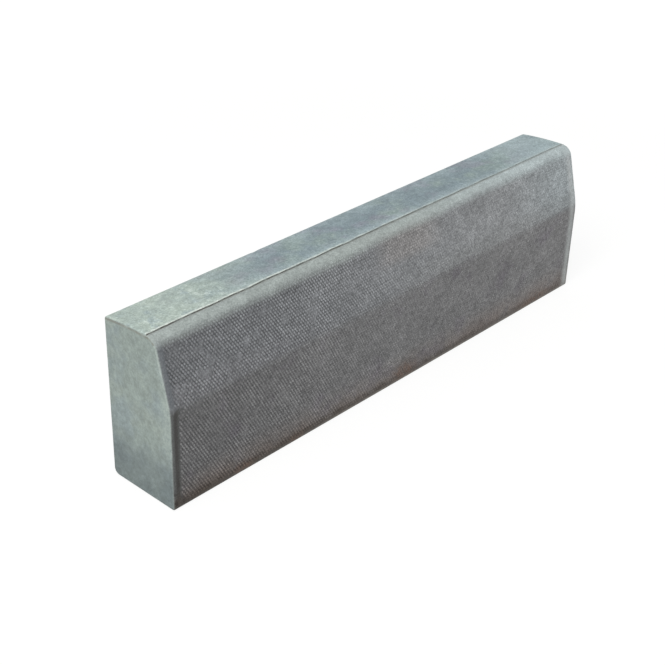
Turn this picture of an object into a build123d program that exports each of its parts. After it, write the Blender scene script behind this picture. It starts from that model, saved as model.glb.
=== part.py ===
import os
from math import atan2, pi, tan

from build123d import *

os.makedirs("parts", exist_ok=True)

# Half batter kerb, pressed from one concrete mix. Lengths in mm.
# +X runs along the kerb, -Y faces the road, +Z is up, origin under the middle of the bed.

# overall stone
stone_length = 915.0
bed_width = 125.0
stone_height = 255.0

# road face: upright below, leaning back above, rounded over at the head
upright_height = 155.0
batter_setback = 25.0
knee_radius = 120.0
nosing_radius = 20.0

# top falls to the back in one flat curve, so the stone draws out of its mould
top_fall = 6.0

# seam where press plate and mould box met: a groove with a fine raised lip behind it
groove_width = 2.2
groove_depth = 1.4
lip_height = 0.9
lip_width = 9.0

# edges that run along the stone
front_foot_radius = 4.0
back_foot_radius = 10.0
back_head_radius = 4.0

# edges round the two ends
end_arris = 3.0

front = -bed_width / 2
back = bed_width / 2
nosing_top = stone_height - lip_height
back_height = nosing_top - top_fall

# the nosing runs out level on top, at a distance set by the lean of the batter
lean = atan2(batter_setback, nosing_top - upright_height)
nosing_run = nosing_radius * tan((pi / 2 - lean) / 2)
nosing_end = front + batter_setback + nosing_run

# section of the stone, drawn square and then rounded corner by corner
with BuildSketch(Plane.YZ) as section:
    with BuildLine():
        upright = Line((front, 0), (front, upright_height))
        batter = Line(upright @ 1, (front + batter_setback, nosing_top))
        land = Line(batter @ 1, (nosing_end + groove_width, nosing_top))
        top = TangentArc(land @ 1, (back, back_height), tangent=land % 1)
        rear = Line(top @ 1, (back, 0))
        Line(rear @ 1, upright @ 0)
    make_face()
    rounds = [
        ((front, 0), front_foot_radius),
        ((back, 0), back_foot_radius),
        ((back, back_height), back_head_radius),
        ((front, upright_height), knee_radius),
        ((front + batter_setback, nosing_top), nosing_radius),
    ]
    for corner, radius in rounds:
        fillet(section.vertices().sort_by_distance(corner)[0], radius)

stone = extrude(section.sketch, amount=stone_length / 2, both=True)
stone = fillet(stone.faces().filter_by(Axis.X).edges(), end_arris)

# raised lip behind the seam, steep to the road and fading out to the back
lip_front = nosing_end + groove_width
lip_foot = nosing_top - 2 * groove_depth
with BuildSketch(Plane.YZ) as lip_section:
    with BuildLine():
        Polyline(
            (lip_front, lip_foot),
            (lip_front, nosing_top + lip_height),
            (lip_front + lip_width, nosing_top - lip_height),
            (lip_front + lip_width, lip_foot),
            close=True,
        )
    make_face()
stone += extrude(lip_section.sketch, amount=stone_length / 2 - end_arris, both=True)

# groove of the seam, over the whole length
with BuildSketch(Plane.YZ) as groove_section:
    with BuildLine():
        Polyline(
            (nosing_end, nosing_top),
            (nosing_end, stone_height + lip_height),
            (lip_front, stone_height + lip_height),
            (lip_front, nosing_top),
            (nosing_end + groove_width * 0.7, nosing_top - groove_depth),
            close=True,
        )
    make_face()
stone -= extrude(groove_section.sketch, amount=stone_length, both=True)

stone.label = "kerb_stone"
export_step(stone, "parts/kerb_stone.step")
print("kerb_stone", stone.bounding_box().size, round(stone.volume / 1e6, 3), "dm3", len(stone.solids()))
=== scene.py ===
import math

import bpy
from mathutils import Euler, Matrix, Vector, noise


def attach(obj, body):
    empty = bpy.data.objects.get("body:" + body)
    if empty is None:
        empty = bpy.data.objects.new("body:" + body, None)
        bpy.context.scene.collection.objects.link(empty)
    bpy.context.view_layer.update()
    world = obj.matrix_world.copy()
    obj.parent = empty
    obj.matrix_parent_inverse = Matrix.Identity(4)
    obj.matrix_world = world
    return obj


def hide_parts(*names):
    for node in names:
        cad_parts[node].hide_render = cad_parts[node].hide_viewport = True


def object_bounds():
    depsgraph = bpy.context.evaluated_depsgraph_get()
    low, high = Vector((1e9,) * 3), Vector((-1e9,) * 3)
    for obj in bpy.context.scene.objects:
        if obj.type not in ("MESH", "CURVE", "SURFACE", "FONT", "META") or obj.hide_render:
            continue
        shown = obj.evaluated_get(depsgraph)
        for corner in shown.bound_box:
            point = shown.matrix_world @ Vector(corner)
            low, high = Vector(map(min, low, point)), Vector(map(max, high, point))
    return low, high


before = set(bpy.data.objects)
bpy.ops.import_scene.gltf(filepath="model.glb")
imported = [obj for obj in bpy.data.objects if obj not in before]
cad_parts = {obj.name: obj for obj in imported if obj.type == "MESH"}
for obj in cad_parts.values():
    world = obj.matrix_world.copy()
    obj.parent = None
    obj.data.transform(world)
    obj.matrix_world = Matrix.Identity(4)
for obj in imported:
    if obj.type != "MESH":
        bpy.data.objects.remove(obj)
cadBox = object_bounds()
mm = 0.001


def hexLinear(code):
    # sRGB hex to the linear RGBA that sockets take
    channels = [int(code[i:i + 2], 16) / 255 for i in (1, 3, 5)]
    return [c / 12.92 if c <= 0.04045 else ((c + 0.055) / 1.055) ** 2.4 for c in channels] + [1.0]


def put(tree, kind, settings=None, feed=None, out=0):
    # one node with its settings, sockets fed by link or value; gives back one output, or the node for None
    node = tree.nodes.new(kind)
    for name, value in (settings or {}).items():
        setattr(node, name, value)
    for key, source in (feed or {}).items():
        if isinstance(source, bpy.types.NodeSocket):
            tree.links.new(source, node.inputs[key])
        else:
            node.inputs[key].default_value = source
    return node if out is None else node.outputs[out]


def ramp(low, high, value):
    # smooth 0 to 1 between low and high
    t = min(1.0, max(0.0, (value - low) / (high - low)))
    return t * t * (3 - 2 * t)


# the stone: one section swept along X, sizes in mm as on the drawing
stone = {
    "length": (cadBox[1].x - cadBox[0].x) / mm,
    "width": (cadBox[1].y - cadBox[0].y) / mm,
    "height": (cadBox[1].z - cadBox[0].z) / mm,
    "upright": 155.0, "setback": 25.0, "kneeRadius": 120.0, "nosingRadius": 20.0,
    "topFall": 6.0, "frontFoot": 4.0, "backFoot": 10.0, "backHead": 4.0, "endArris": 3.0,
    "grooveWidth": 2.2, "grooveDepth": 1.4, "lipHeight": 0.9, "lipWidth": 4.5,
    "crestRoom": 0.5,        # road face lies this far back, so the pips end on the true face
    "wave": 0.25, "waveLength": 90.0, "ripple": 0.1, "rippleLength": 24.0,
    "chipDepth": 9.0, "chipLength": 28.0, "chipFrom": 0.5, "chipPlace": (3.3, 0.7, 5.1),
    "crumbDepth": 0.9, "crumbLength": 6.0, "crumbFrom": 0.1, "sideCrumbs": 0.45, "breakShare": 0.75,
    # wear of each edge, 1 at the arris of an end, and how far in the back edges count
    "arrisWear": 1.5, "arrisTurn": 1.3, "endWear": 0.35, "backWear": 0.4, "footWear": 0.8,
    "backEdge": 6.0, "headEdge": 5.0, "roadFrom": 1.0,
    "topSlope": 0.8, "bedSlope": -0.6, "rimSlope": 0.6,   # upward part of the normal
    # waves of noise along the seam: length, place in the noise, share
    "seamWander": 1.0, "wander": ((33.0, 5.7, 1.0), (8.0, 1.9, 0.4)),
    "ragged": ((19.0, 3.1, 1.0), (6.0, 8.4, 0.5)),
    # least share that stands, usual share, and how much raggedness changes it
    "grooveOpen": (0.12, 0.95, 0.75), "lipStands": (0.15, 0.75, 0.7),
    "grooveFoot": 0.7,       # share of the width where the groove is deepest
    "grooveFill": 0.4,       # share of the groove that slurry fills at the far end
    # where a mark or a form begins and is full; frame is the dark band that the rim of the plate left
    "fades": {
        "road": (-0.1, -0.4), "endWear": (5.0, 2.5), "crestRoom": (0.0, 5.0),
        "driftIn": (-5.0, 0.0), "driftOut": (15.0, 8.0), "seamHeight": (0.0, 4.0),
        "dotted": (2.0, -1.5), "frameIn": (-1.5, 6.5), "frameOut": (11.5, 7.5),
        "topSlope": (0.6, 0.95), "topStart": (-0.2, 0.4), "rim": (0.45, 0.62),
        "seamIn": (0.0, 0.6), "seamOut": (2.5, 2.1), "seamEnd": (0.3, 2.5),
        "lipIn": (2.1, 2.5), "lipOut": (8.0, 4.0), "lipEnd": (0.0, 5.0),
    },
    "faceStep": 4.0, "endStep": 2.0, "endZone": 36.0, "endPlace": 50.0, "sharpAngle": 38.0,
    "arrisTurns": (90, 68, 45, 22, 0),
    "seamPoints": (0.5, 1.0, 1.5, 1.9, 2.19, 2.24, 2.7, 3.4, 4.4, 5.6, 7.2, 9.5),   # behind the nosing
    "endRings": (0.975, 0.93, 0.8, 0.6, 0.4, 0.2),   # share of the way out from the middle of an end
}
half = stone["length"] / 2
front, back = -stone["width"] / 2, stone["width"] / 2
headLevel = stone["height"] - stone["lipHeight"]
lean = math.atan2(stone["setback"], headLevel - stone["upright"])
nosingEnd = front + stone["setback"] + stone["nosingRadius"] * math.tan((math.pi / 2 - lean) / 2)
lipFront = nosingEnd + stone["grooveWidth"]


def sectionCorner(before, corner, after, radius, count):
    # arc that rounds one corner of the section
    toBefore, toAfter = (before - corner).normalized(), (after - corner).normalized()
    opening = toBefore.angle(toAfter)
    reach = radius / math.tan(opening / 2)
    centre = corner + (toBefore + toAfter).normalized() * radius / math.sin(opening / 2)
    start, end = corner + toBefore * reach - centre, corner + toAfter * reach - centre
    return [centre + start.slerp(end, k / count).normalized() * radius for k in range(count + 1)]


def runPoints(a, b, step):
    # points between two ends of a straight run, ends left out
    count = max(1, math.ceil((b - a).length / step))
    return [a.lerp(b, k / count) for k in range(1, count)]


def stoneSection():
    # corner, its radius, points on its arc, step along the run after it
    corners = [
        (Vector((front, 0)), stone["frontFoot"], 4, 4.0),
        (Vector((front, stone["upright"])), stone["kneeRadius"], 8, 4.0),
        (Vector((front + stone["setback"], headLevel)), stone["nosingRadius"], 14, 4.0),
        (Vector((back, headLevel)), stone["backHead"], 5, 6.0),
        (Vector((back, 0)), stone["backFoot"], 6, 9.0),
    ]
    arcs = []
    for i, (corner, radius, count, _) in enumerate(corners):
        after = corners[(i + 1) % len(corners)][0]
        arcs.append(sectionCorner(corners[i - 1][0], corner, after, radius, count))
    points = []
    for i, arc in enumerate(arcs):
        points += arc
        after = arcs[(i + 1) % len(arcs)][0]
        if i == 2:
            # past the nosing: close points over the seam, then the open top
            points += [Vector((nosingEnd + y, headLevel)) for y in stone["seamPoints"]]
            points += runPoints(points[-1], after, stone["faceStep"])
        else:
            points += runPoints(arc[-1], after, corners[i][3])
    for p in points:
        # the top falls to the back in one flat curve
        share = max(0.0, (p.x - lipFront) / (back - lipFront))
        p.y *= 1 - stone["topFall"] / headLevel * share * share
    return points


def endStations():
    # (x, inset) along the stone, with the arris rounded at both ends
    arris = stone["endArris"]
    turns = [math.radians(a) for a in stone["arrisTurns"]]
    leftEnd = [(-half + arris - arris * math.sin(a), arris - arris * math.cos(a)) for a in turns]
    xs, x = [], -half + arris
    while x < -half + stone["endZone"]:
        x += stone["endStep"]
        xs.append(x)
    count = math.ceil(-2 * x / stone["faceStep"])
    middle = [x + k * -2 * x / count for k in range(1, count)]
    inner = xs + middle + [-v for v in reversed(xs)]
    return leftEnd + [(v, 0.0) for v in inner] + [(-v, inset) for v, inset in reversed(leftEnd)]


def bumps(spot, length):
    # noise from 0 to 1 with lumps of that length
    return 0.5 + 0.5 * noise.noise(spot / length)


def unevenAlong(x, waves):
    # uneven line along the stone, summed from waves of noise
    return sum(share * noise.noise(Vector((x / length, place, 0))) for length, place, share in waves)


def raggedShare(limits, ragged, filled=0.0):
    # share of a form that is left at a ragged place
    least, usual, swing = limits
    return min(1.0, max(least, usual + swing * ragged - filled))


def seamDrift(x, y):
    # sideways wander of the seam, fading out to both sides of it
    d = y - nosingEnd
    fades = stone["fades"]
    drift = unevenAlong(x, stone["wander"])
    return stone["seamWander"] * drift * ramp(*fades["driftIn"], d) * ramp(*fades["driftOut"], d)


def seamHeight(x, y):
    # groove and lip of the seam above the plain top, ragged along the stone
    d = y - nosingEnd
    if d <= 0 or d > stone["grooveWidth"] + stone["lipWidth"]:
        return 0.0
    ragged = unevenAlong(x, stone["ragged"])
    if d < stone["grooveWidth"]:
        foot = stone["grooveFoot"] * stone["grooveWidth"]
        share = d / foot if d < foot else (stone["grooveWidth"] - d) / (stone["grooveWidth"] - foot)
        filled = stone["grooveFill"] * ramp(-half, half, x)
        return -stone["grooveDepth"] * share * raggedShare(stone["grooveOpen"], ragged, filled)
    lip = stone["lipHeight"] * raggedShare(stone["lipStands"], ragged)
    return lip * (1 - (d - stone["grooveWidth"]) / stone["lipWidth"])


# pips on the road face, printed by the holes of the drain plate, in mm
pips = {
    "pitch": 5.0, "baseRadius": 1.85, "crestRadius": 1.5, "slant": -60.0,
    "stretch": {"upright": (1.62, 0.88, 1.0), "batter": (1.48, 0.9, 1.0)},   # longer along the slant
    "rise": 0.42, "crown": 0.08, "sunk": 0.5,
    # edges of the two printed areas
    "left": 15.0, "batterLeft": 10.0, "right": 15.0, "bottom": 10.0, "kneeGap": 2.0, "top": 94.0,
    "corner": 9.0, "wornShare": 0.002, "seed": 7,
    "outward": 4.0, "fall": 20.0,   # each point starts this far in front of the face and falls at most so far
    # wear: lumps to the metre, limits in the noise, share of the rise that is left
    "wearScale": 14.0, "wearFrom": (0.35, 0.6), "lowest": 0.62,
    # random width of each pip, and the share of its crest's rubbed paleness and painted highlight
    "width": (0.86, 1.06), "rubbed": (0.36, 1.0),
}


def pipArea(name):
    # centre along X, low and high edge on the face, and length of one printed area
    left = pips["left"] if name == "upright" else pips["batterLeft"]
    low = pips["bottom"] if name == "upright" else pips["kneeGap"]
    high = stone["upright"] - pips["kneeGap"] if name == "upright" else pips["top"]
    return (left - pips["right"]) / 2, low, high, stone["length"] - left - pips["right"]


def pipDistance(x, z):
    # how far a point of the road face lies outside its printed area, less than 0 inside
    name = "upright" if z < stone["upright"] else "batter"
    middle, low, high, length = pipArea(name)
    up = z if name == "upright" else (z - stone["upright"]) / math.cos(lean)
    qx = abs(x - middle) - length / 2 + pips["corner"]
    qz = abs(up - (low + high) / 2) - (high - low) / 2 + pips["corner"]
    return math.hypot(max(qx, 0), max(qz, 0)) + min(max(qx, qz), 0) - pips["corner"]


def stonePoint(p, n, x, inset):
    # a point of the skin and what the finish needs to know there; inset grows round the arris of an end
    fades = stone["fades"]
    spot = Vector((x, p.x - n.x * inset, p.y - n.y * inset))
    fromEnd = half - abs(x)
    behind = p.x - nosingEnd
    turned = inset / stone["endArris"]
    onTop, onBed = n.y > stone["topSlope"], n.y < stone["bedSlope"]
    road = ramp(*fades["road"], n.x) if p.x < nosingEnd and p.y > stone["roadFrom"] else 0.0
    edge = max(min(1.0, turned * stone["arrisWear"]), stone["endWear"] * ramp(*fades["endWear"], fromEnd))
    atHead = p.y > headLevel - stone["topFall"] - stone["headEdge"]
    if p.x > back - stone["backEdge"] and (atHead or p.y < stone["backFoot"]):
        edge = max(edge, stone["backWear"])
    if p.x < front + stone["frontFoot"] and p.y < stone["frontFoot"]:
        edge = max(edge, stone["footWear"])

    # the face waves a little, and edges are chipped and crumbled
    inward = stone["crestRoom"] * road * ramp(*fades["crestRoom"], fromEnd)
    chip = 0.0
    if not onBed:
        inward += stone["wave"] * bumps(spot, stone["waveLength"])
        inward += stone["ripple"] * bumps(spot, stone["rippleLength"])
        broken = noise.noise(spot / stone["chipLength"] + Vector(stone["chipPlace"])) - stone["chipFrom"]
        crumb = max(0.0, noise.noise(spot / stone["crumbLength"]) - stone["crumbFrom"]) * stone["crumbDepth"]
        crumb *= 1.0 if onTop else stone["sideCrumbs"]
        chip = stone["breakShare"] * edge * (max(0.0, broken) * stone["chipDepth"] + crumb)
    spot.y -= n.x * (inward + chip)
    spot.z -= n.y * (inward + chip)
    if onTop:
        spot.y += seamDrift(x, p.x)
        spot.z += seamHeight(x, p.x) * ramp(*fades["seamHeight"], fromEnd)
    if inset > 0:
        spot.x -= math.copysign(chip, x)
    spot.z = max(0.0, spot.z)

    ends = min(1.0, turned * stone["arrisTurn"])
    outside = pipDistance(x, p.y)
    marks = {
        "road": road * (1 - ends),
        "dotted": road * ramp(*fades["dotted"], outside),
        "frame": road * ramp(*fades["frameIn"], outside) * ramp(*fades["frameOut"], outside),
        "top": ramp(*fades["topSlope"], n.y) * ramp(*fades["topStart"], p.x - lipFront) * (1 - ends),
        "ends": ends,
        # rim: where the painted shadow under the edge of the top falls on each end
        "rim": ramp(*fades["rim"], turned) if n.y > stone["rimSlope"] else 0.0,
        "seam": 0.0,
        # lip: where the painted highlight along the seam's lip goes
        "lip": 0.0,
        "edge": edge,
    }
    # the seam mark darkens the groove with dirt and painted shadow
    if onTop:
        for name in ("seam", "lip"):
            across = ramp(*fades[name + "In"], behind) * ramp(*fades[name + "Out"], behind)
            marks[name] = across * ramp(*fades[name + "End"], fromEnd)
    return spot, marks


def makeStone():
    section = stoneSection()
    stations = endStations()
    total = len(section)
    normals = []
    for j in range(total):
        along = section[(j + 1) % total] - section[j - 1]
        normals.append(Vector((-along.y, along.x)).normalized())
    verts, faces, marks = [], [], {}
    for x, inset in stations:
        for p, n in zip(section, normals):
            spot, known = stonePoint(p, n, x, inset)
            verts.append(spot * mm)
            for name, value in known.items():
                marks.setdefault(name, []).append(value)
    for i in range(len(stations) - 1):
        for j in range(total):
            a, b = i * total + j, i * total + (j + 1) % total
            faces.append((a, a + total, b + total, b))
    # each end: rings drawn in to the middle, a little uneven
    middle = sum(section, Vector((0, 0))) / total
    for side, ring in ((-1, 0), (1, (len(stations) - 1) * total)):
        outer = list(range(ring, ring + total))
        for share in stone["endRings"]:
            inner = list(range(len(verts), len(verts) + total))
            for p, n in zip(section, normals):
                flat = middle + (p - n * stone["endArris"] - middle) * share
                place = Vector((flat.x, flat.y, side * stone["endPlace"]))
                dip = stone["wave"] * bumps(place, stone["rippleLength"])
                verts.append(Vector((side * (half - dip), flat.x, flat.y)) * mm)
            for j in range(total):
                k = (j + 1) % total
                quad = (outer[j], outer[k], inner[k], inner[j])
                faces.append(quad if side < 0 else quad[::-1])
            outer = inner
        faces.append(tuple(outer) if side < 0 else tuple(outer[::-1]))
    mesh = bpy.data.meshes.new("kerbStone")
    mesh.from_pydata(verts, [], faces)
    for name, values in marks.items():
        values += [1.0 if name == "ends" else 0.0] * (len(verts) - len(values))
        mesh.attributes.new(name, "FLOAT", "POINT").data.foreach_set("value", values)
    mesh.validate()
    mesh.shade_smooth()
    mesh.set_sharp_from_angle(angle=math.radians(stone["sharpAngle"]))
    piece = bpy.data.objects.new("kerbStone", mesh)
    bpy.context.collection.objects.link(piece)
    print("stone:", len(verts), "points,", len(mesh.polygons), "faces")
    return piece


def pipTree():
    # staggered rows of low slanted domes, dropped on the face of the stone
    tree = bpy.data.node_groups.new("drainPlatePips", "GeometryNodeTree")
    tree.interface.new_socket("Pips", in_out="OUTPUT", socket_type="NodeSocketGeometry")
    inputs = {
        "Object": ("Stone",), "Material": ("Material",), "Int": ("Seed",),
        "Float": ("Length", "Height", "Corner", "Pitch", "Base Radius", "Crest Radius", "Slant",
                  "Rise", "Crown", "Sunk", "Worn Share"),
        "Vector": ("Stretch", "Centre", "Turn", "Inward"),
    }
    for kind, names in inputs.items():
        for name in names:
            tree.interface.new_socket(name, in_out="INPUT", socket_type="NodeSocket" + kind)
    size = put(tree, "NodeGroupInput", out=None).outputs
    times, share, add = {"operation": "MULTIPLY"}, {"operation": "DIVIDE"}, {"operation": "ADD"}
    less, whole, near = {"operation": "SUBTRACT"}, {"operation": "FLOOR"}, {"operation": "ROUND"}
    above, below = {"operation": "GREATER_THAN"}, {"operation": "LESS_THAN"}

    # rows at 60 degrees: row spacing is pitch times the sine
    rowStep = put(tree, "ShaderNodeMath", times, {0: size["Pitch"], 1: math.sin(math.pi / 3)})
    columns = put(tree, "ShaderNodeMath", share, {0: size["Length"], 1: size["Pitch"]})
    columns = put(tree, "ShaderNodeMath", whole, {0: columns})
    rows = put(tree, "ShaderNodeMath", share, {0: size["Height"], 1: rowStep})
    rows = put(tree, "ShaderNodeMath", whole, {0: rows})
    sizeX = put(tree, "ShaderNodeMath", times, {0: columns, 1: size["Pitch"]})
    sizeY = put(tree, "ShaderNodeMath", times, {0: rows, 1: rowStep})
    countX = put(tree, "ShaderNodeMath", add, {0: columns, 1: 1.0})
    countY = put(tree, "ShaderNodeMath", add, {0: rows, 1: 1.0})
    grid = put(tree, "GeometryNodeMeshGrid", None,
               {"Size X": sizeX, "Size Y": sizeY, "Vertices X": countX, "Vertices Y": countY})
    place = put(tree, "GeometryNodeInputPosition")
    axes = put(tree, "ShaderNodeSeparateXYZ", None, {0: place}, None).outputs
    fromLow = put(tree, "ShaderNodeMath", {"operation": "MULTIPLY_ADD"}, {0: sizeY, 1: 0.5, 2: axes["Y"]})
    row = put(tree, "ShaderNodeMath", share, {0: fromLow, 1: rowStep})
    row = put(tree, "ShaderNodeMath", near, {0: row})
    odd = put(tree, "ShaderNodeMath", {"operation": "FLOORED_MODULO"}, {0: row, 1: 2.0})
    odd = put(tree, "ShaderNodeMath", less, {0: odd, 1: 0.5})
    halfPitch = put(tree, "ShaderNodeMath", times, {0: size["Pitch"], 1: 0.5})
    shift = put(tree, "ShaderNodeMath", times, {0: odd, 1: halfPitch})
    shift = put(tree, "ShaderNodeCombineXYZ", None, {"X": shift})
    staggered = put(tree, "GeometryNodeSetPosition", None, {"Geometry": grid, "Offset": shift})

    # leave out what lies past the round corners of the area, and a few worn pips
    extent = put(tree, "ShaderNodeCombineXYZ", None, {"X": size["Length"], "Y": size["Height"]})
    inner = put(tree, "ShaderNodeVectorMath", {"operation": "SCALE"}, {0: extent, "Scale": 0.5})
    cornerXY = put(tree, "ShaderNodeCombineXYZ", None, {"X": size["Corner"], "Y": size["Corner"]})
    inner = put(tree, "ShaderNodeVectorMath", less, {0: inner, 1: cornerXY})
    away = put(tree, "ShaderNodeVectorMath", {"operation": "ABSOLUTE"}, {0: place})
    away = put(tree, "ShaderNodeVectorMath", less, {0: away, 1: inner})
    away = put(tree, "ShaderNodeVectorMath", {"operation": "MAXIMUM"}, {0: away, 1: (0, 0, 0)})
    away = put(tree, "ShaderNodeVectorMath", {"operation": "LENGTH"}, {0: away}, "Value")
    outside = put(tree, "FunctionNodeCompare", above, {0: away, 1: size["Corner"]})
    worn = put(tree, "FunctionNodeRandomValue", {"data_type": "BOOLEAN"},
               {"Probability": size["Worn Share"], "Seed": size["Seed"]}, 3)
    gone = put(tree, "FunctionNodeBooleanMath", {"operation": "OR"}, {0: outside, 1: worn})
    kept = put(tree, "GeometryNodeDeleteGeometry", {"domain": "POINT"},
               {"Geometry": staggered, "Selection": gone})

    # stand the rows up on the face and let each point fall on the stone
    stood = put(tree, "GeometryNodeTransform", None,
                {"Geometry": kept, "Translation": size["Centre"], "Rotation": size["Turn"]})
    stoneMesh = put(tree, "GeometryNodeObjectInfo", None, {"Object": size["Stone"]}, "Geometry")
    hit = put(tree, "GeometryNodeRaycast", None,
              {"Target Geometry": stoneMesh, "Ray Direction": size["Inward"],
               "Ray Length": pips["fall"] * mm}, None).outputs
    seated = put(tree, "GeometryNodeSetPosition", None,
                 {"Geometry": stood, "Selection": hit["Is Hit"], "Position": hit["Hit Position"]})

    # one pip: a short frustum with its crest drawn up, longer along its slant
    depth = put(tree, "ShaderNodeMath", add, {0: size["Rise"], 1: size["Sunk"]})
    dome = put(tree, "GeometryNodeMeshCone", {"fill_type": "TRIANGLE_FAN"},
               {"Vertices": 8, "Side Segments": 1, "Fill Segments": 1, "Radius Top": size["Crest Radius"],
                "Radius Bottom": size["Base Radius"], "Depth": depth})
    flat = put(tree, "ShaderNodeVectorMath", times, {0: place, 1: (1, 1, 0)})
    reach = put(tree, "ShaderNodeVectorMath", {"operation": "LENGTH"}, {0: flat}, "Value")
    atAxis = put(tree, "FunctionNodeCompare", below, {0: reach, 1: 0.0001})
    high = put(tree, "FunctionNodeCompare", above, {0: axes["Z"], 1: 0.0002})
    crestPoint = put(tree, "FunctionNodeBooleanMath", {"operation": "AND"}, {0: atAxis, 1: high})
    lift = put(tree, "ShaderNodeCombineXYZ", None, {"Z": size["Crown"]})
    drawn = put(tree, "GeometryNodeSetPosition", None,
                {"Geometry": dome, "Selection": crestPoint, "Offset": lift})
    level = put(tree, "ShaderNodeMath", less, {0: axes["Z"], 1: size["Sunk"]})
    level = put(tree, "ShaderNodeMath", {"operation": "DIVIDE", "use_clamp": True},
                {0: level, 1: size["Rise"]})
    onPoint = {"data_type": "FLOAT", "domain": "POINT"}
    marked = drawn
    for name, value in (("crest", level), ("road", 1.0), ("dotted", 1.0)):
        marked = put(tree, "GeometryNodeStoreNamedAttribute", onPoint,
                     {"Geometry": marked, "Name": name, "Value": value})
    sunk = put(tree, "ShaderNodeMath", times, {0: size["Sunk"], 1: -1.0})
    sunk = put(tree, "ShaderNodeCombineXYZ", None, {"Z": sunk})
    spin = put(tree, "ShaderNodeCombineXYZ", None, {"Z": size["Slant"]})
    lowered = put(tree, "GeometryNodeTransform", None,
                  {"Geometry": marked, "Translation": sunk, "Rotation": spin, "Scale": size["Stretch"]})

    # pips are lower where the face is worn or filled with slurry, and none is quite like the next
    wear = put(tree, "ShaderNodeTexNoise", None, {"Vector": place, "Scale": pips["wearScale"], "Detail": 3.0})
    wornLow, wornHigh = pips["wearFrom"]
    tall = put(tree, "ShaderNodeMapRange", None,
               {"Value": wear, "From Min": wornLow, "From Max": wornHigh,
                "To Min": pips["lowest"], "To Max": 1.0})
    wide, rubbed = [
        put(tree, "FunctionNodeRandomValue", {"data_type": "FLOAT"},
            {2: low, 3: high, "Seed": size["Seed"]}, 1)
        for low, high in (pips["width"], pips["rubbed"])
    ]
    grow = put(tree, "ShaderNodeCombineXYZ", None, {"X": wide, "Y": wide, "Z": tall})
    printed = put(tree, "GeometryNodeInstanceOnPoints", None,
                  {"Points": seated, "Instance": lowered, "Rotation": size["Turn"], "Scale": grow})
    printed = put(tree, "GeometryNodeStoreNamedAttribute", {"data_type": "FLOAT", "domain": "INSTANCE"},
                  {"Geometry": printed, "Name": "rubbed", "Value": rubbed})
    real = put(tree, "GeometryNodeRealizeInstances", None, {"Geometry": printed})
    smooth = put(tree, "GeometryNodeSetShadeSmooth", None, {"Geometry": real})
    done = put(tree, "GeometryNodeSetMaterial", None, {"Geometry": smooth, "Material": size["Material"]})
    put(tree, "NodeGroupOutput", None, {0: done}, None)
    return tree


def makePips(name, area, tree, stonePiece, material):
    middle, low, high, length = pipArea(area)
    outward = pips["outward"]
    tilt = 0.0 if area == "upright" else lean
    along = (low + high) / 2
    if area == "upright":
        centre = Vector((middle, front - outward, along))
    else:
        centre = Vector((middle, front + along * math.sin(tilt) - outward * math.cos(tilt),
                         stone["upright"] + along * math.cos(tilt) + outward * math.sin(tilt)))
    values = {
        "Stone": stonePiece, "Material": material, "Length": length * mm, "Height": (high - low) * mm,
        "Corner": pips["corner"] * mm, "Pitch": pips["pitch"] * mm,
        "Base Radius": pips["baseRadius"] * mm, "Crest Radius": pips["crestRadius"] * mm,
        "Stretch": pips["stretch"][area], "Slant": math.radians(pips["slant"]),
        "Rise": pips["rise"] * mm, "Crown": pips["crown"] * mm, "Sunk": pips["sunk"] * mm,
        "Worn Share": pips["wornShare"], "Seed": pips["seed"], "Centre": centre * mm,
        "Turn": (math.pi / 2 - tilt, 0, 0), "Inward": (0, math.cos(tilt), -math.sin(tilt)),
    }
    piece = bpy.data.objects.new(name, bpy.data.meshes.new(name))
    bpy.context.collection.objects.link(piece)
    modifier = piece.modifiers.new("pips", "NODES")
    modifier.node_group = tree
    for socket in tree.interface.items_tree:
        if socket.in_out == "INPUT":
            modifier[socket.identifier] = values[socket.name]
    piece.update_tag()
    graph = bpy.context.evaluated_depsgraph_get()
    mesh = bpy.data.meshes.new_from_object(piece.evaluated_get(graph))
    piece.modifiers.clear()
    piece.data = mesh
    mesh.name = name
    mesh.calc_loop_triangles()
    print(name + ":", len(mesh.loop_triangles), "triangles")
    return piece


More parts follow.
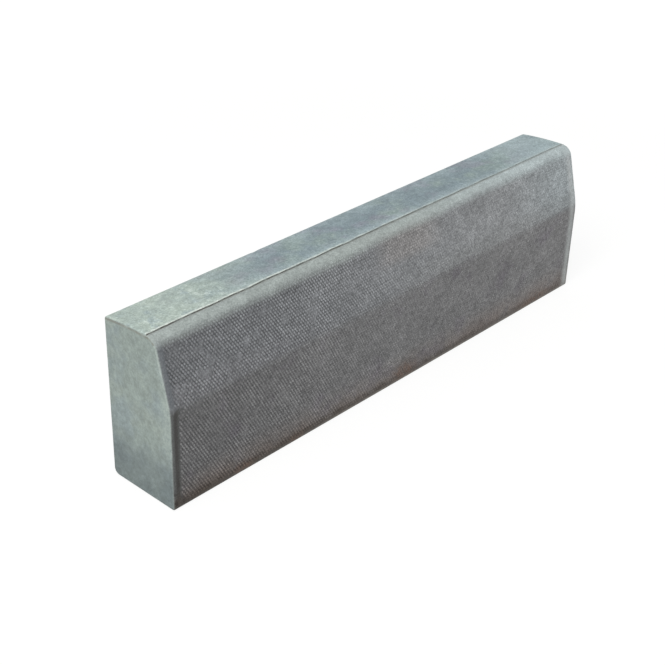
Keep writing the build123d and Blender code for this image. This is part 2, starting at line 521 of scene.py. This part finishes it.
# pressed concrete: dull and dry, smooth and clouded where it met the steel mould, grey and stained on the
# face that drained through the plate, pale where it was struck off
# a wash is a colour, or tone to lighten and darken, then limits: field, from, to, share at from, share at to
# x, y, z and wavy are in mm, the other fields run from 0 to 1
concrete = {
    # soft clouds: size in mm, detail, roughness, place in the noise; grit is drawn coarser than sand to show
    "clouds": {
        "broad": (150.0, 3, 0.5, 0.0), "patch": (55.0, 5, 0.55, 1.3), "other": (55.0, 4, 0.6, 7.9),
        "smear": (20.0, 4, 0.6, 5.2), "fleck": (8.0, 4, 0.65, 2.7), "speck": (4.0, 3, 0.6, 9.4),
        "grit": (2.4, 2, 0.5, 4.1),
    },
    # ends and back: grey green with blue and warm clouds, paler by the road arris, darker at the foot
    "mould": [
        ("#919c97",),
        ("#869295", ("patch", 0.4, 0.6, 0.0, 0.6)),
        ("#959f98", ("other", 0.48, 0.62, 0.0, 0.6)),
        ("#a1aca6", ("y", -34, -54, 0.0, 0.55), ("z", 55, 100, 0.0, 1.0)),
        ("#737d7e", ("z", 105, 35, 0.0, 1.0), ("patch", 0.3, 0.55, 0.65, 1.0)),
        ("tone", ("smear", 0.3, 0.7, 0.92, 1.06), ("patch", 0.3, 0.7, 0.97, 1.03)),
        ("tone", ("fleck", 0.3, 0.7, 0.9, 1.08), ("speck", 0.3, 0.7, 0.92, 1.07)),
    ],
    # top: blue grey in soft clouds, pale to the ends and along the seam, crusted by the near end
    "top": [
        ("#85949a",),
        ("#91a19e", ("patch", 0.45, 0.65, 0.0, 0.9)),
        ("#8d919c", ("other", 0.5, 0.65, 0.0, 0.7)),
        ("#a7b7ba", ("x", 260, 430, 0.0, 0.9), ("other", 0.3, 0.55, 0.4, 1.0)),
        ("#a7b7ba", ("y", 2, -19, 0.0, 0.65), ("other", 0.3, 0.55, 0.5, 1.0)),
        ("#a7b7ba", ("y", 18, 57, 0.0, 0.5), ("smear", 0.35, 0.6, 0.3, 1.0)),
        ("#b4c2b9", ("x", -170, -400, 0.0, 1.0), ("patch", 0.3, 0.55, 0.65, 1.0)),
        ("#97a6a8", ("x", -240, -330, 0.0, 0.7), ("smear", 0.5, 0.66, 0.0, 1.0)),
        ("#c6d1ca", ("x", -200, -340, 0.1, 0.55), ("fleck", 0.5, 0.66, 0.0, 1.0),
         ("patch", 0.4, 0.58, 0.2, 1.0)),
        ("#8d9891", ("x", -200, -320, 0.1, 0.5), ("fleck", 0.46, 0.32, 0.0, 1.0),
         ("smear", 0.4, 0.6, 0.2, 1.0)),
        ("tone", ("smear", 0.3, 0.7, 0.93, 1.06), ("fleck", 0.3, 0.7, 0.95, 1.05)),
    ],
    # upright part of the road face: dark and brownish low down and near, paler far
    "upright": [
        ("#6f6f70",),
        ("#7b7b7c", ("x", -450, -130, 0.0, 1.0)),
        ("#808081", ("x", 20, 420, 0.0, 1.0)),
        ("#726e75", ("other", 0.46, 0.3, 0.0, 0.6)),
        ("#7d7571", ("z", 60, 12, 0.0, 1.0), ("other", 0.3, 0.6, 0.3, 0.8)),
    ],
    "batter": [
        ("#797b7e",),
        ("#949698", ("x", -457, 457, 0.0, 1.0)),
        ("#a1a9ac", ("x", 240, 440, 0.0, 0.8)),
        ("#838487", ("z", 200, 168, 0.0, 0.8), ("x", -330, -80, 1.0, 0.0)),
        ("#8a8c8d", ("z", 192, 164, 0.0, 0.8), ("x", -40, 150, 0.0, 1.0), ("x", 290, 420, 1.0, 0.4)),
        ("#909295", ("x", -220, -110, 0.0, 0.6), ("x", 40, -20, 0.0, 1.0), ("z", 185, 210, 0.0, 1.0)),
        ("#979493", ("x", -60, -5, 0.0, 0.7), ("x", 120, 50, 0.0, 1.0), ("z", 195, 215, 0.0, 1.0)),
        ("tone", ("z", 219, 230, 1.0, 0.94)),
    ],
    "road": [
        ("tone", ("patch", 0.3, 0.7, 0.9, 1.09), ("smear", 0.3, 0.7, 0.95, 1.05)),
        ("tone", ("fleck", 0.3, 0.7, 0.9, 1.08), ("speck", 0.25, 0.75, 0.76, 1.24)),
        # plain rim round the print, with the brown line that the plate left
        ("#535554", ("dotted", 1, 0, 0.0, 1.0), ("z", 162, 148, 0.0, 1.0), ("x", -457, 366, 0.85, 0.25)),
        ("#686c70", ("dotted", 1, 0, 0.0, 1.0), ("z", 150, 165, 0.0, 1.0), ("x", -440, -180, 0.9, 0.0)),
        ("#434241", ("frame", 0, 1, 0.0, 1.0), ("z", 160, 148, 0.0, 1.0), ("x", -457, 200, 1.0, 0.1),
         ("z", 6, 16, 0.0, 1.0), ("smear", 0.25, 0.5, 0.75, 1.0)),
        ("#5d6064", ("x", -453, -447, 0.0, 0.4), ("x", -439, -445, 0.0, 1.0), ("z", 152, 165, 0.0, 1.0)),
        ("#5a5049", ("z", 34, 4, 0.0, 1.0), ("x", -457, 300, 0.8, 0.1), ("other", 0.3, 0.6, 0.4, 0.9)),
        ("#453f3a", ("z", 34, 5, 0.0, 0.5), ("x", -440, -330, 1.0, 0.0)),
        ("#443d37", ("z", 18, 11, 0.0, 0.75), ("z", 3, 8, 0.5, 1.0), ("x", -457, 457, 0.9, 0.55),
         ("smear", 0.35, 0.58, 0.35, 1.0)),
        ("#2f2b28", ("z", 60, 12, 0.0, 0.8), ("x", -450, -425, 1.0, 0.0), ("fleck", 0.5, 0.6, 0.0, 1.0)),
        ("#857d75", ("z", 7, 4, 0.0, 0.5), ("x", -300, -60, 0.0, 1.0), ("smear", 0.3, 0.6, 0.3, 1.0)),
    ],
    # rust and soil along the foot: place along the stone, height, reach both ways, in mm
    "rust": "#705d53",
    "stains": [(-330, 6, 34, 18), (-225, 4, 22, 14), (20, 8, 34, 16), (10, 18, 46, 20), (360, 8, 75, 20)],
    "stainWhere": (("stain", 1.0, 0.1, 0.0, 0.8), ("fleck", 0.35, 0.6, 0.15, 0.8)),
    "farStrip": ("#b9bebe", ("x", 434, 447, 0.0, 1.0), ("x", 454, 450, 0.4, 1.0),
                 ("smear", 0.3, 0.6, 0.3, 0.6)),
    # crests are rubbed pale and carry a painted highlight, and the ground between them keeps its dirt and is
    # darkened with painted shade, less so to the far end
    "rubbed": ("tone", ("level", 0.0, 0.55, 0.53, 1.22)),
    "rubbedAndPaintedLightWhere": [
        (("dotted", 0, 1, 0.0, 1.0), ("z", 152, 160, 0.0, 1.0), ("x", -220, 170, 1.0, 0.15),
         ("smear", 0.34, 0.5, 0.2, 1.0), ("patch", 0.3, 0.55, 0.6, 1.0)),
        (("dotted", 0, 1, 0.0, 1.0), ("z", 160, 152, 0.0, 0.92), ("x", -330, 140, 1.0, 0.12),
         ("smear", 0.34, 0.5, 0.2, 1.0), ("patch", 0.3, 0.55, 0.6, 1.0)),
    ],
    # nosing: pale laitance that thins out downwards over the first pips
    "nosing": [
        ("#9fa7a4",),
        ("#b3bebf", ("x", -60, 420, 0.0, 1.0)),
        # painted shade on the nosing just in front of the seam, broken by flecks
        ("#868985", ("y", -26, -22, 0.0, 0.45), ("fleck", 0.25, 0.55, 0.5, 1.0)),
        ("tone", ("smear", 0.3, 0.7, 0.94, 1.05), ("fleck", 0.3, 0.7, 0.95, 1.05)),
    ],
    "laitance": ("wavy", 243.5, 260, 0.0, 1.0), "wavy": {"broad": 12.0, "smear": 4.0},
    # where upright runs into batter and the road side into the rest
    "knee": ("z", 147, 164, 0.0, 1.0), "roadSide": ("y", -12, -18, 0.0, 1.0),
    # edges rubbed pale, painted shadow under the rim of the struck top over the ends, a painted highlight on
    # the lip of the seam, and its groove dark with dirt and painted shadow
    "edges": [
        ("#cbd6cf", ("edge", 0, 1, 0.0, 1.0), ("smear", 0.35, 0.65, 0.03, 0.24), ("z", 20, 240, 0.2, 1.0)),
        # painted shadow under the edge of the top, along the upper rim of each end
        ("#77756c", ("rim", 0, 1, 0.0, 0.7), ("fleck", 0.3, 0.55, 0.3, 1.0)),
        # painted highlight along the lip of the seam, strongest at the near end
        ("#dde5de", ("lip", 0, 1, 0.0, 1.0), ("x", -457, 300, 1.0, 0.2), ("fleck", 0.32, 0.55, 0.5, 1.0),
         ("smear", 0.36, 0.52, 0.4, 1.0)),
        # groove of the seam: dirt and painted shadow, strongest at the near end
        ("#4a443e", ("seam", 0, 1, 0.0, 1.0), ("x", -457, 457, 0.75, 0.2), ("fleck", 0.3, 0.55, 0.2, 1.0),
         ("smear", 0.36, 0.5, 0.3, 1.0)),
    ],
    "sand": ("tone", ("grit", 0.25, 0.75, 0.8, 1.18), ("fleck", 0.2, 0.8, 0.94, 1.05)),
    "sandWhere": ("ends", 0, 1, 1.0, 0.3),
    # relief in mm, its strength on the faces and on the ends, and the dull surface
    "gritRelief": 0.5, "fleckRelief": 1.1, "grain": (0.35, 0.12),
    "roughness": (0.8, 0.95), "ior": 1.5, "specular": 0.35,
}


def layWashes(tree, fields, ground, washes):
    # lay each wash over the ground, where all its limits let it through
    for tint, *limits in washes:
        share = None
        for field, start, end, atStart, atEnd in limits:
            unit = mm if field in ("x", "y", "z", "wavy") else 1.0
            part = put(tree, "ShaderNodeMapRange", {"interpolation_type": "SMOOTHSTEP"},
                       {0: fields[field], 1: start * unit, 2: end * unit, 3: atStart, 4: atEnd})
            if share is not None:
                part = put(tree, "ShaderNodeMath", {"operation": "MULTIPLY"}, {0: share, 1: part})
            share = part
        if tint == "tone":
            way, feed = "MULTIPLY", {0: 1.0, 6: ground, 7: share}
        else:
            way, feed = "MIX", {0: share, 6: ground, 7: hexLinear(tint) if isinstance(tint, str) else tint}
        ground = put(tree, "ShaderNodeMix", {"data_type": "RGBA", "blend_type": way}, feed, 2)
    return ground


def makeConcrete():
    material = bpy.data.materials.new("pressedConcrete")
    material.use_nodes = True
    tree = material.node_tree
    tree.nodes.clear()
    place = put(tree, "ShaderNodeTexCoord", out="Object")
    axes = put(tree, "ShaderNodeSeparateXYZ", None, {0: place}, None).outputs
    fields = {"x": axes["X"], "y": axes["Y"], "z": axes["Z"]}
    for name in ("road", "dotted", "frame", "top", "ends", "rim", "seam", "lip", "edge", "crest", "rubbed"):
        fields[name] = put(tree, "ShaderNodeAttribute", {"attribute_name": name}, None, "Fac")
    for name, (size, detail, rough, offset) in concrete["clouds"].items():
        moved = put(tree, "ShaderNodeVectorMath", {"operation": "ADD"},
                    {0: place, 1: (offset, offset * 2, 0)})
        fields[name] = put(tree, "ShaderNodeTexNoise", None,
                           {"Vector": moved, "Scale": 1 / (size * mm), "Detail": detail, "Roughness": rough})
    fields["level"] = put(tree, "ShaderNodeMath", {"operation": "MULTIPLY"},
                          {0: fields["crest"], 1: fields["rubbed"]})
    fields["wavy"] = axes["Z"]
    for name, reach in concrete["wavy"].items():
        fields["wavy"] = put(tree, "ShaderNodeMath", {"operation": "MULTIPLY_ADD"},
                             {0: fields[name], 1: reach * mm, 2: fields["wavy"]})

    ground = {}
    for name in ("mould", "top", "upright", "batter", "nosing"):
        (first,), *washes = concrete[name]
        ground[name] = layWashes(tree, fields, hexLinear(first), washes)
    road = layWashes(tree, fields, ground["upright"], [(ground["batter"], concrete["knee"])])
    road = layWashes(tree, fields, road, concrete["road"])
    for x, z, reachX, reachZ in concrete["stains"]:
        away = put(tree, "ShaderNodeVectorMath", {"operation": "SUBTRACT"},
                   {0: place, 1: (x * mm, front * mm, z * mm)})
        away = put(tree, "ShaderNodeVectorMath", {"operation": "MULTIPLY"},
                   {0: away, 1: (1 / (reachX * mm), 0, 1 / (reachZ * mm))})
        fields["stain"] = put(tree, "ShaderNodeVectorMath", {"operation": "LENGTH"}, {0: away}, "Value")
        road = layWashes(tree, fields, road, [(concrete["rust"], *concrete["stainWhere"])])
    road = layWashes(tree, fields, road, [concrete["farStrip"]])
    # pip crests lightened by rubbing and painted highlight, the ground between them darkened by dirt and
    # painted shade
    rubbed = layWashes(tree, fields, road, [concrete["rubbed"]])
    road = layWashes(tree, fields, road, [(rubbed, *where) for where in concrete["rubbedAndPaintedLightWhere"]])
    road = layWashes(tree, fields, road, [(ground["nosing"], concrete["laitance"])])

    face = layWashes(tree, fields, ground["nosing"], [(road, ("road", 0, 1, 0.0, 1.0))])
    base = layWashes(tree, fields, ground["mould"], [
        (face, concrete["roadSide"]),
        (ground["top"], ("top", 0, 1, 0.0, 1.0)),
        (ground["mould"], ("ends", 0, 1, 0.0, 1.0)),
    ])
    base = layWashes(tree, fields, base, concrete["edges"])
    sandy = layWashes(tree, fields, base, [concrete["sand"]])
    base = layWashes(tree, fields, base, [(sandy, concrete["sandWhere"])])

    # sand grain and shallow hollows, fainter on the smooth ends
    onFaces, onEnds = concrete["grain"]
    grain = put(tree, "ShaderNodeMapRange", None, {0: fields["ends"], 3: onFaces, 4: onEnds})
    fine = put(tree, "ShaderNodeBump", None,
               {"Strength": grain, "Distance": concrete["gritRelief"] * mm, "Height": fields["grit"]})
    relief = put(tree, "ShaderNodeBump", None,
                 {"Strength": grain, "Distance": concrete["fleckRelief"] * mm, "Height": fields["fleck"],
                  "Normal": fine})
    smoothest, roughest = concrete["roughness"]
    dull = put(tree, "ShaderNodeMapRange", None,
               {0: fields["fleck"], 1: 0.3, 2: 0.7, 3: smoothest, 4: roughest})
    shader = put(tree, "ShaderNodeBsdfPrincipled", None,
                 {"Base Color": base, "Roughness": dull, "Normal": relief, "IOR": concrete["ior"],
                  "Specular IOR Level": concrete["specular"]})
    put(tree, "ShaderNodeOutputMaterial", None, {"Surface": shader}, None)
    print("concrete:", len(tree.nodes), "nodes")
    return material


concreteFinish = makeConcrete()
kerb = makeStone()
kerb.data.materials.append(concreteFinish)
plate = pipTree()
lowerPips = makePips("uprightPips", "upright", plate, kerb, concreteFinish)
upperPips = makePips("batterPips", "batter", plate, kerb, concreteFinish)
for piece in (kerb, lowerPips, upperPips):
    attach(piece, "root")
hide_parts("kerb_stone")

# studio: pale floor, white surround, soft light from above left
studio = {
    "floor": "#f4f4f2", "floorReach": 30.0, "floorDrop": 0.0003, "worldLight": 0.53,
    # share of glow near the stone, where the floor keeps the shadow; plain white far out
    "floorGlow": 0.78, "glowLevel": 1.07, "shadowReach": 1.0, "whiteFrom": 2.6,
    "key": 178.0, "keySize": 3.0, "keyAt": (-3.4, -1.2, 4.4),
    "fill": 10.0, "fillSize": 2.4, "fillAt": (2.2, -2.6, 1.4), "aim": (0, 0, 0.12),
}


def makeStudio():
    material = bpy.data.materials.new("studioFloor")
    material.use_nodes = True
    paint = material.node_tree
    paint.nodes.clear()
    seen = put(paint, "ShaderNodeLightPath", out="Is Camera Ray")
    spot = put(paint, "ShaderNodeTexCoord", out="Object")
    away = put(paint, "ShaderNodeVectorMath", {"operation": "LENGTH"}, {0: spot}, "Value")
    share = put(paint, "ShaderNodeMapRange", {"interpolation_type": "SMOOTHSTEP"},
                {0: away, 1: studio["shadowReach"], 2: studio["whiteFrom"], 3: studio["floorGlow"], 4: 1.0})
    seen = put(paint, "ShaderNodeMath", {"operation": "MULTIPLY"}, {0: seen, 1: share})
    dull = put(paint, "ShaderNodeBsdfDiffuse", None, {"Color": hexLinear(studio["floor"])})
    glow = put(paint, "ShaderNodeEmission", None, {"Color": (1, 1, 1, 1), "Strength": studio["glowLevel"]})
    mixed = put(paint, "ShaderNodeMixShader", None, {0: seen, 1: dull, 2: glow})
    put(paint, "ShaderNodeOutputMaterial", None, {"Surface": mixed}, None)
    wide = studio["floorReach"]
    mesh = bpy.data.meshes.new("floor")
    corners = [(-wide, -wide, 0), (wide, -wide, 0), (wide, wide, 0), (-wide, wide, 0)]
    mesh.from_pydata(corners, [], [(0, 1, 2, 3)])
    mesh.materials.append(material)
    floor = bpy.data.objects.new("floor", mesh)
    floor.location.z = -studio["floorDrop"]
    bpy.context.collection.objects.link(floor)

    world = bpy.data.worlds.new("surround")
    bpy.context.scene.world = world
    world.use_nodes = True
    air = world.node_tree
    air.nodes.clear()
    rays = put(air, "ShaderNodeLightPath", out=None).outputs
    direct = rays["Is Camera Ray"]
    for kind in ("Is Glossy Ray", "Is Transmission Ray"):
        direct = put(air, "ShaderNodeMath", {"operation": "MAXIMUM"}, {0: direct, 1: rays[kind]})
    strength = put(air, "ShaderNodeMapRange", None,
                   {"Value": direct, "To Min": studio["worldLight"], "To Max": 1.0})
    sky = put(air, "ShaderNodeBackground", None, {"Color": (1, 1, 1, 1), "Strength": strength})
    put(air, "ShaderNodeOutputWorld", None, {"Surface": sky}, None)

    for name in ("key", "fill"):
        lamp = bpy.data.lights.new(name, "AREA")
        lamp.energy = studio[name]
        lamp.size = studio[name + "Size"]
        lampObject = bpy.data.objects.new(name, lamp)
        lampObject.location = studio[name + "At"]
        aim = Vector(studio["aim"]) - lampObject.location
        lampObject.rotation_euler = aim.to_track_quat("-Z", "Y").to_euler()
        bpy.context.collection.objects.link(lampObject)
    print("studio ready")


makeStudio()

# camera where the photograph was taken from, angles in degrees
camera = {
    "at": (-1.3588, -1.1466, 1.0947), "heading": 42.02, "down": 30.2, "roll": 1.77,
    "lens": 71.75, "sensor": 36.0,
}
view = bpy.data.cameras.new("camera")
view.lens = camera["lens"]
view.sensor_width = camera["sensor"]
eye = bpy.data.objects.new("camera", view)
turn = Euler((math.radians(90 - camera["down"]), 0, math.radians(camera["heading"] - 90))).to_matrix()
turn = turn @ Matrix.Rotation(math.radians(camera["roll"]), 3, "Z")
eye.matrix_world = Matrix.Translation(camera["at"]) @ turn.to_4x4()
bpy.context.collection.objects.link(eye)
bpy.context.scene.camera = eye
bpy.context.scene.view_settings.view_transform = "Standard"
